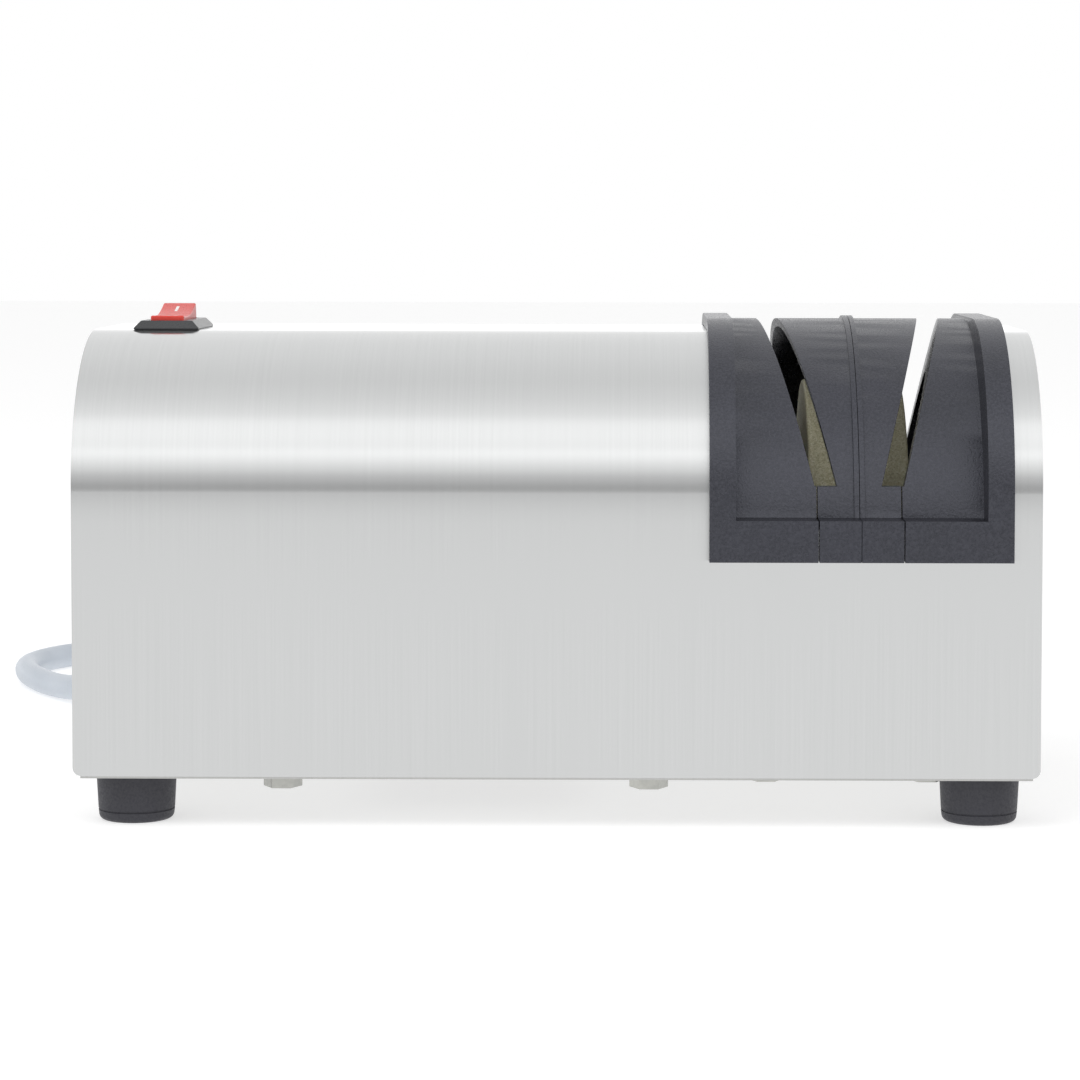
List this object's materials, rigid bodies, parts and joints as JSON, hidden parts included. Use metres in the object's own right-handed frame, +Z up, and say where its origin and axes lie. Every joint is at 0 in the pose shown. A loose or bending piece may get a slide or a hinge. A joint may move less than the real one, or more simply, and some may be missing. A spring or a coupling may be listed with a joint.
{
  "type": "electric knife sharpener",
  "caption": "Bench sharpener: a steel tunnel case with a motor that turns abrasive wheels under a slotted blade guide, with a rocker switch and mains cord.",
  "frame": {"origin": "on the table under the middle of the case", "axes": "+X to the right along the case and the shaft, +Y to the back, +Z up; the user faces +Y"},
  "size_m": [0.355, 0.3732, 0.1503],
  "materials": {
    "stainless": "brushed vertically, satin",
    "zinc_steel": "zinc plated",
    "black_abs": "moulded, fine spark texture",
    "black_rubber": "moulded",
    "electrical_steel": "laminated, varnished",
    "cast_aluminium": "die cast",
    "copper": "enamelled wire",
    "abrasive": "sintered grit",
    "white_nylon": "moulded",
    "red_rocker": "moulded, satin",
    "black_nylon": "moulded",
    "grey_pvc": "satin",
    "brass_plated": "bright"
  },
  "bodies": {
    "case": {"housing_shell": "stainless", "left_end_plate": "stainless", "right_end_plate": "stainless", "base_plate": "stainless", "case_screws": "zinc_steel", "foot_screws": "zinc_steel", "foot_washers": "zinc_steel", "foot_nuts": "zinc_steel", "bracket_nuts": "zinc_steel", "guide_screws": "zinc_steel", "motor_bolts": "zinc_steel", "frame_bolts": "zinc_steel", "motor_tie_bolts": "zinc_steel", "motor_bracket_left": "zinc_steel", "motor_bracket_right": "zinc_steel", "wheel_frame": "zinc_steel", "motor_bearings": "zinc_steel", "outboard_bearing": "zinc_steel", "capacitor_clip": "zinc_steel", "left_guide": "black_abs", "right_guide": "black_abs", "centre_guide_left": "black_abs", "centre_guide_right": "black_abs", "foot_front_left": "black_rubber", "foot_front_right": "black_rubber", "foot_rear_left": "black_rubber", "foot_rear_right": "black_rubber", "stator_stack": "electrical_steel", "rear_end_bell": "cast_aluminium", "front_end_bell": "cast_aluminium", "stator_windings": "copper", "terminal_block": "white_nylon", "run_capacitor": "white_nylon", "switch_frame": "black_nylon", "cord_tie": "black_nylon", "strain_relief": "grey_pvc", "cord_lead": "grey_pvc", "cord_coil": "grey_pvc", "cord_tail": "grey_pvc", "plug_body": "grey_pvc", "wiring": "grey_pvc", "plug_pins": "brass_plated", "switch_terminals": "brass_plated"},
    "rotor": {"shaft": "zinc_steel", "motor_rotor": "electrical_steel", "cooling_fan": "white_nylon", "left_wheel": "abrasive", "right_wheel": "abrasive", "wheel_spacer": "zinc_steel", "wheel_flanges": "zinc_steel", "shaft_nut": "zinc_steel"},
    "rocker": {"rocker": "red_rocker"}
  },
  "joints": [
    {"name": "wheel_spin", "type": "hinge", "parent": "case", "child": "rotor", "pos_m": [0.089, 0, 0.08], "axis": [1, 0, 0], "continuous": true},
    {"name": "rocker_tip", "type": "hinge", "parent": "case", "child": "rocker", "pos_m": [-0.1184, -0.0127, 0.142], "axis": [1, 0, 0], "range_deg": [-13.2, 0]}
  ]
}
